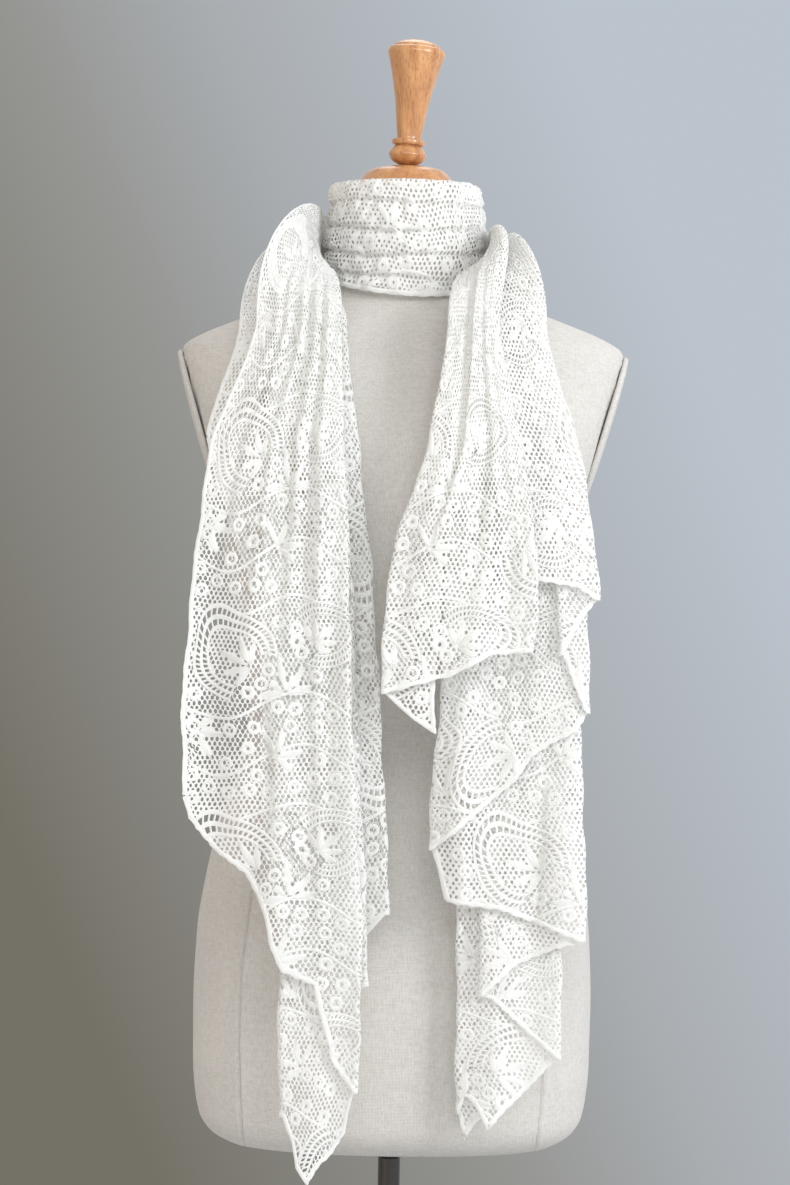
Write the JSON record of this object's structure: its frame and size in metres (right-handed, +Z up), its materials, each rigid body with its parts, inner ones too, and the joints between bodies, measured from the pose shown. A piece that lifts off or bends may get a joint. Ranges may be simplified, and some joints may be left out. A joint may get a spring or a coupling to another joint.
{
  "type": "lace shawl on dress form",
  "caption": "Long lace shawl wound round the neck of a limbless dress form on a pole stand, both ends hanging in folds over the chest.",
  "frame": {"origin": "centre of the stand base's underside, on the floor", "axes": "+Z up along the pole, -Y towards the front of the dress form, +X to the viewer's right when seen from the front"},
  "size_m": [0.41, 0.41, 1.5548],
  "materials": {
    "linen": "matte",
    "lace": "matte",
    "varnished_wood": "gloss",
    "steel": "satin",
    "dark_metal": "satin"
  },
  "bodies": {
    "root": {"form_torso": "linen", "form_arm_plate_left": "linen", "form_arm_plate_right": "linen", "form_neck_cap": "varnished_wood", "form_finial": "varnished_wood", "stand_pole": "steel", "stand_base": "dark_metal", "shawl_neck_wrap": "lace", "shawl_nape_crossing": "lace", "shawl_fall_left": "lace", "shawl_fall_right": "lace"}
  },
  "joints": []
}
